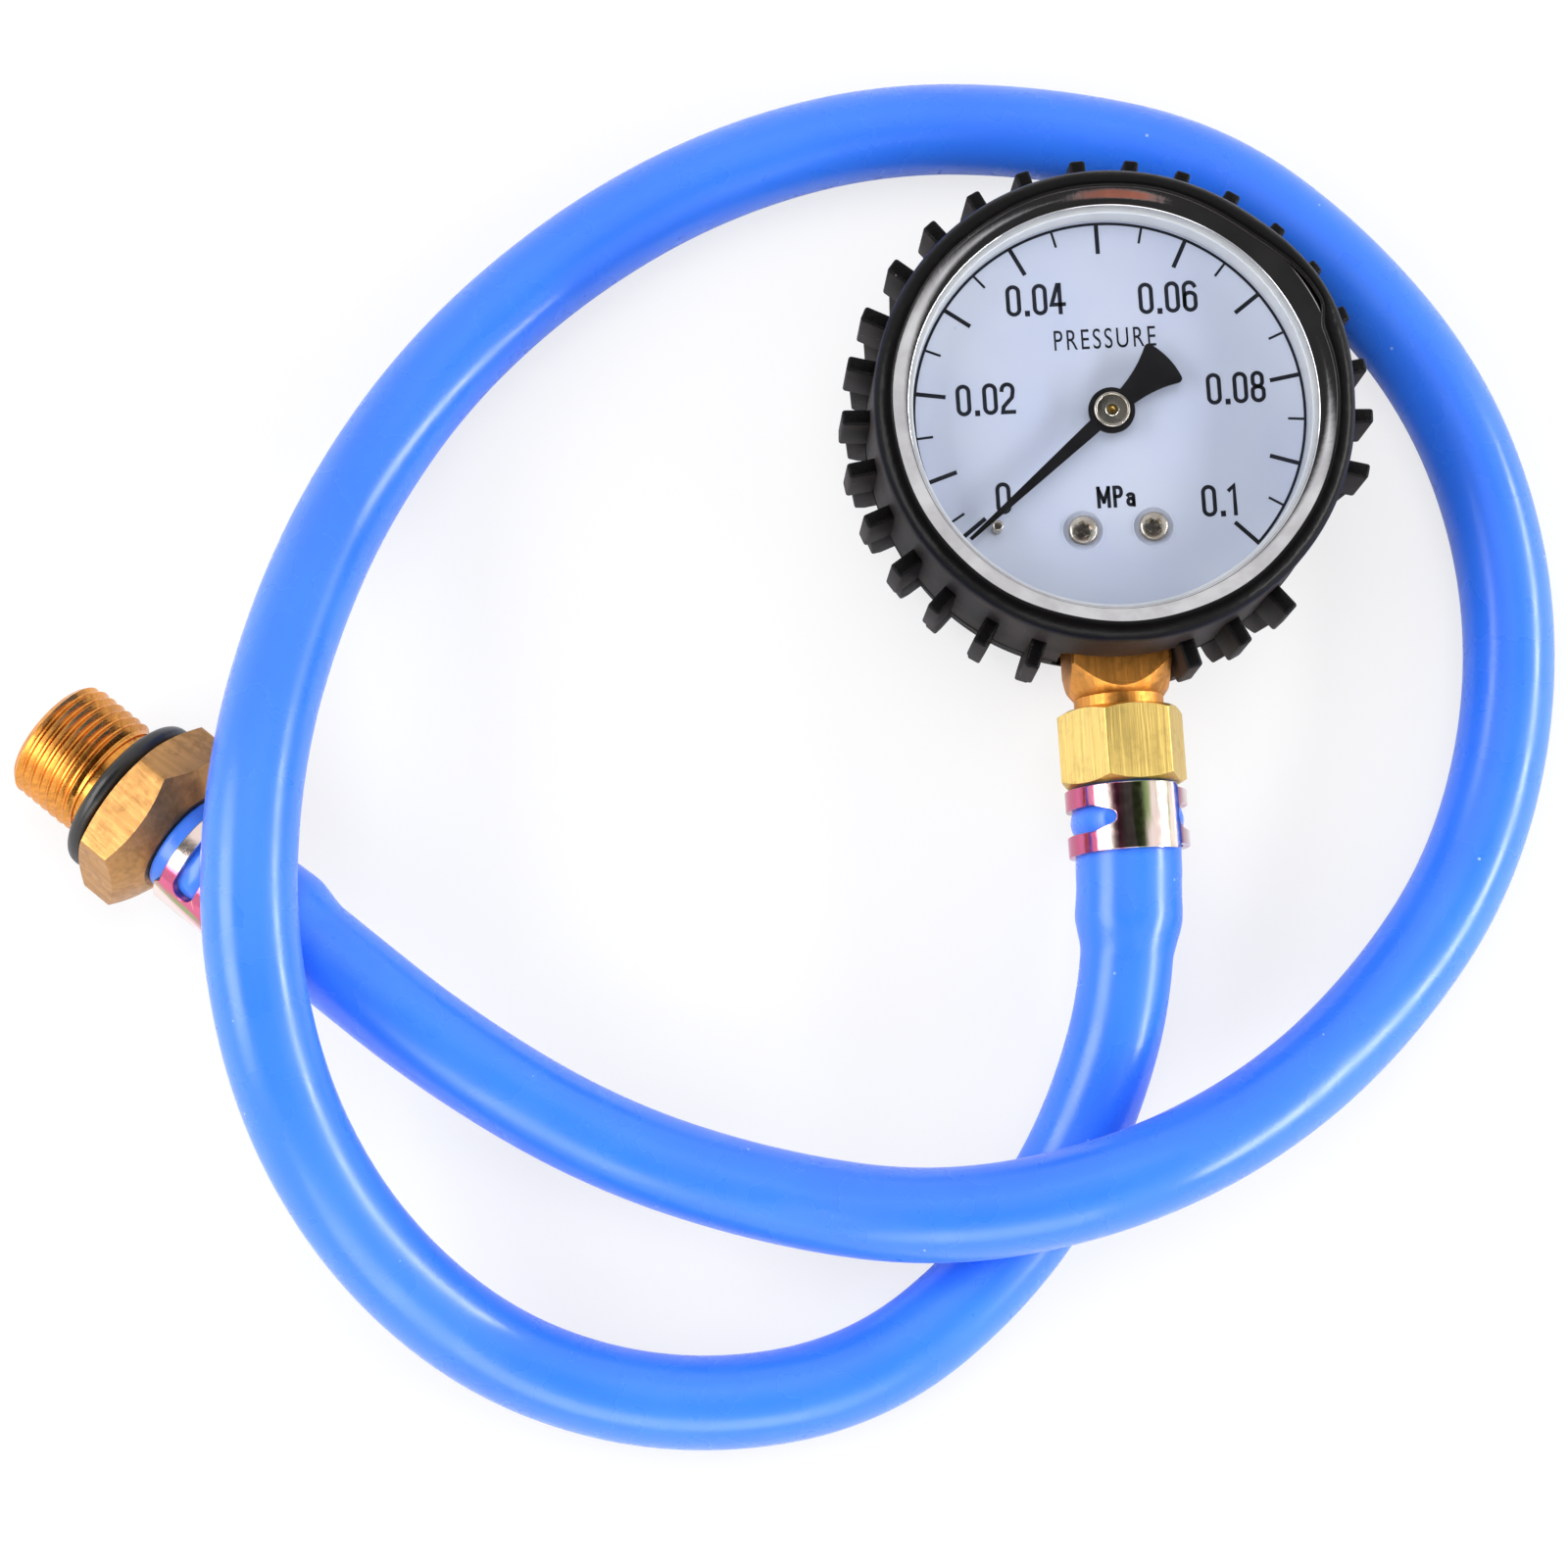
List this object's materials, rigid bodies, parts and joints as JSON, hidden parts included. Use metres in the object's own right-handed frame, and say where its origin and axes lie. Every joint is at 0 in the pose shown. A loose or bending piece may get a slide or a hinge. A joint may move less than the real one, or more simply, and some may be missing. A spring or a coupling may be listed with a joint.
{
  "type": "exhaust back pressure tester",
  "caption": "Low pressure gauge in a black rubber boot on a blue silicone hose, with a brass adapter that screws into an oxygen sensor boss.",
  "frame": {"origin": "centre of the boot's flat back face, on the surface that the gauge lies on", "axes": "+Z out of the dial, -Y along the stem towards the hose, +X to the dial's right as it is read"},
  "size_m": [0.2187, 0.1937, 0.0382],
  "materials": {
    "boot_rubber": "black moulded rubber, satin, with grey-brown dust on the wall",
    "case_steel": "black paint over pressed steel",
    "white_ring": "white moulded ring",
    "window_glass": "clear flat glass",
    "bezel_chrome": "bright plated sheet with faint ripples",
    "dial_white": "white paint with black print, semi-matt",
    "screw_brass": "small turned brass, nickel-washed",
    "screw_steel": "small turned steel",
    "pointer_black": "black paint, satin",
    "cap_nickel": "nickel-plated, turned",
    "block_brass": "darker brass with milling lines along the stem",
    "movement_brass": "stamped and turned brass",
    "tube_brass": "drawn phosphor-bronze tube",
    "arbor_brass": "turned brass",
    "spring_bronze": "thin rolled bronze strip",
    "nut_brass": "yellow brass, brushed along the stem",
    "washer_black": "black nitrile rubber",
    "clamp_zinc": "spring steel with yellow zinc, iridescent pink, gold and green",
    "hose_silicone": "bright blue silicone, semi-gloss",
    "adapter_brass": "tan brass with stains, orange-gold thread"
  },
  "bodies": {
    "gauge": {"boot": "boot_rubber", "case": "case_steel", "seat_ring": "white_ring", "window": "window_glass", "bezel": "bezel_chrome", "dial": "dial_white", "dial_post_1": "movement_brass", "dial_post_2": "movement_brass", "dial_screw_1": "screw_brass", "dial_screw_2": "screw_brass", "stop_pin": "screw_brass", "stem_block": "block_brass", "restrictor": "movement_brass", "case_screw_1": "screw_steel", "case_screw_2": "screw_steel", "bourdon_tube": "tube_brass", "back_plate": "movement_brass", "front_plate": "movement_brass", "pillar_1": "movement_brass", "pillar_2": "movement_brass", "pillar_3": "movement_brass", "pillar_4": "movement_brass", "movement_screw_1": "screw_steel", "movement_screw_2": "screw_steel", "movement_screw_3": "screw_steel", "movement_screw_4": "screw_steel", "hairspring": "spring_bronze", "hairspring_stud": "movement_brass", "gauge_fitting": "nut_brass", "sealing_washer": "washer_black", "gauge_clamp": "clamp_zinc", "hose": "hose_silicone", "end_adapter": "adapter_brass", "end_oring": "washer_black", "end_clamp": "clamp_zinc"},
    "sector_body": {"sector": "movement_brass", "sector_arbor": "screw_steel", "link_pin": "screw_steel"},
    "pointer_body": {"pinion_arbor": "arbor_brass", "pointer": "pointer_black", "pointer_cap": "cap_nickel", "hairspring_collet": "movement_brass"},
    "link_body": {"link": "movement_brass"},
    "tip_body": {"tube_tip": "tube_brass"}
  },
  "joints": [
    {"name": "sector_swing", "type": "hinge", "parent": "gauge", "child": "sector_body", "pos_m": [0.00052, -0.01499, 0.0193], "axis": [0, 0, 1], "range_deg": [0, 29.39], "stiffness_Nm_per_rad": 0.0002},
    {"name": "pointer_turn", "type": "hinge", "parent": "gauge", "child": "pointer_body", "pos_m": [0, 0, 0.0193], "axis": [0, 0, 1], "range_deg": [-264.5, 0], "deforming": ["hairspring"]},
    {"name": "link_swing", "type": "hinge", "parent": "sector_body", "child": "link_body", "pos_m": [-0.0035, -0.00989, 0.0182], "axis": [0, 0, 1], "range_deg": [-29.39, 0]},
    {"name": "tip_move", "type": "slide", "parent": "gauge", "child": "tip_body", "axis": [-0.6018, -0.7986, 0], "range_m": [0, 0.0033], "deforming": ["bourdon_tube"]}
  ],
  "couplings": [
    {"joint": "pointer_turn", "follows": "sector_swing", "ratio": -9},
    {"joint": "link_swing", "follows": "sector_swing", "ratio": -1},
    {"joint": "tip_move", "follows": "sector_swing", "m_per_rad": 0.006428}
  ]
}
